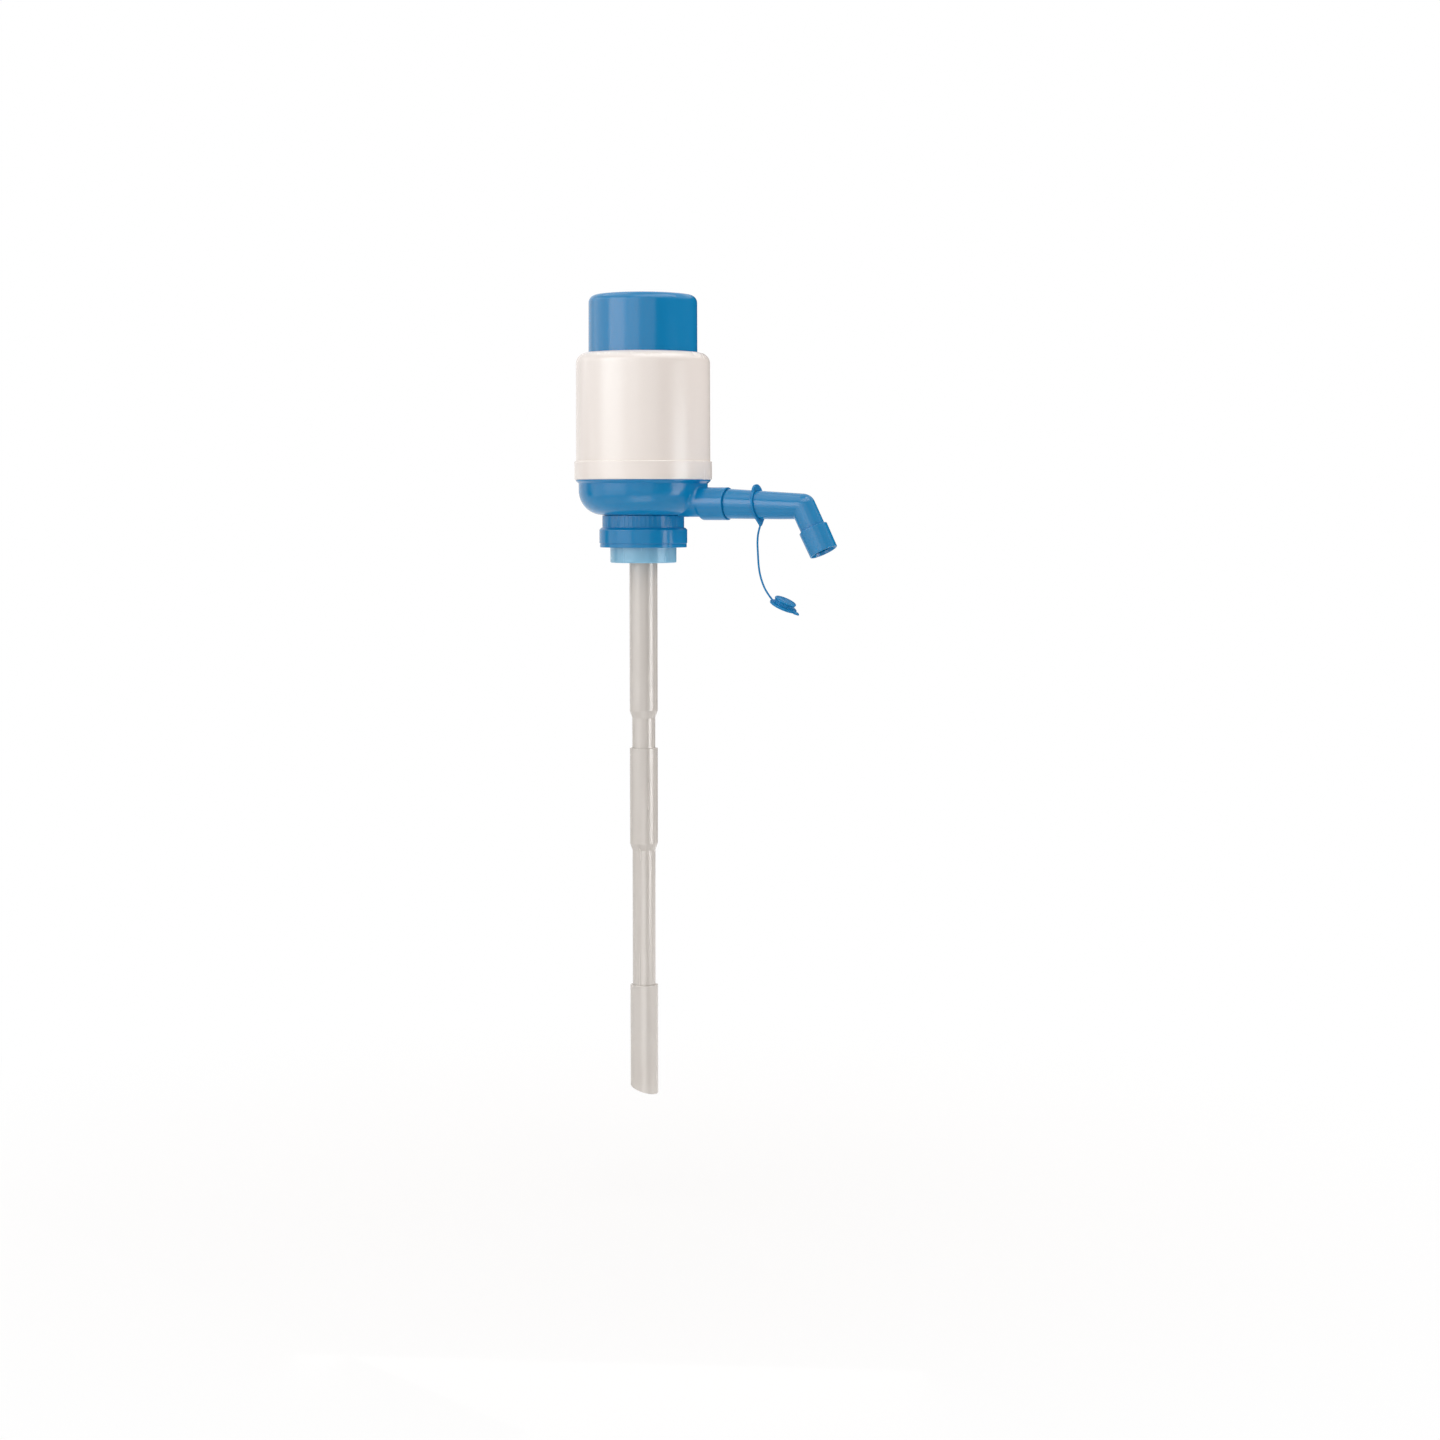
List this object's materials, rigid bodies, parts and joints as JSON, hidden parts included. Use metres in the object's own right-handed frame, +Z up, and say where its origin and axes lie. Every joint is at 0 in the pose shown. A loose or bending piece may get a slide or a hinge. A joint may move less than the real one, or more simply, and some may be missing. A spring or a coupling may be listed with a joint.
{
  "type": "water jug hand pump",
  "caption": "Press-down pump for a large water bottle: sprung plunger and bellows, screw-on neck nut, swivelling spout with tethered cap, and sectional dip tube.",
  "frame": {"origin": "on the pump's axis, in the plane where the rim of the bottle's neck seats against the gasket", "axes": "+Z up along the pump's axis, out of the bottle; +X along the spout; +Y completes the right-handed frame"},
  "size_m": [0.1604, 0.0788, 0.4622],
  "materials": {
    "blue_plastic": "moulded blue polypropylene, satin gloss",
    "white_plastic": "moulded warm white plastic, soft gloss",
    "pale_blue_plastic": "translucent pale blue polyethylene",
    "blue_soft_plastic": "soft flexible blue polyethylene",
    "natural_tube": "natural translucent polyethylene tube",
    "bellows_rubber": "soft off-white rubber",
    "white_seal": "white sealing foam",
    "black_seal": "black nitrile rubber",
    "clear_silicone": "translucent silicone",
    "spring_steel": "drawn stainless wire"
  },
  "bodies": {
    "base": {"neck_plug": "pale_blue_plastic", "neck_gasket": "white_seal", "base_bowl": "blue_plastic", "housing_shell": "white_plastic", "plate_seal": "white_seal", "valve_plate": "white_plastic", "delivery_valve": "clear_silicone", "bellows": "bellows_rubber", "bellows_lower_hoop": "white_plastic", "return_spring": "spring_steel", "water_elbow": "pale_blue_plastic", "elbow_seal": "black_seal", "dip_tube_upper": "natural_tube", "dip_tube_middle": "natural_tube", "dip_tube_foot": "natural_tube"},
    "plunger": {"plunger_cap": "blue_plastic", "bellows_top_seat": "white_plastic", "bellows_upper_hoop": "white_plastic", "intake_valve": "clear_silicone"},
    "nut": {"neck_nut": "blue_plastic"},
    "spout": {"spout": "blue_plastic", "spout_seal": "black_seal", "spout_sleeve": "blue_plastic"},
    "tether": {"tether_ring": "blue_soft_plastic", "tether_strand": "blue_soft_plastic", "dust_cap": "blue_soft_plastic"}
  },
  "joints": [
    {"name": "press", "type": "slide", "parent": "base", "child": "plunger", "axis": [0, 0, -1], "range_m": [0, 0.028], "stiffness_N_per_m": 300, "springref_m": -0.02, "deforming": ["bellows", "return_spring"]},
    {"name": "nut_spin", "type": "hinge", "parent": "base", "child": "nut", "pos_m": [0, 0, 0], "axis": [0, 0, 1], "continuous": true},
    {"name": "spout_swivel", "type": "hinge", "parent": "base", "child": "spout", "pos_m": [0, 0, 0.0149], "axis": [1, 0, 0], "continuous": true},
    {"name": "tether_swing", "type": "hinge", "parent": "spout", "child": "tether", "pos_m": [0.0545, 0, 0.0149], "axis": [0.9994, 0, -0.0349], "continuous": true}
  ]
}
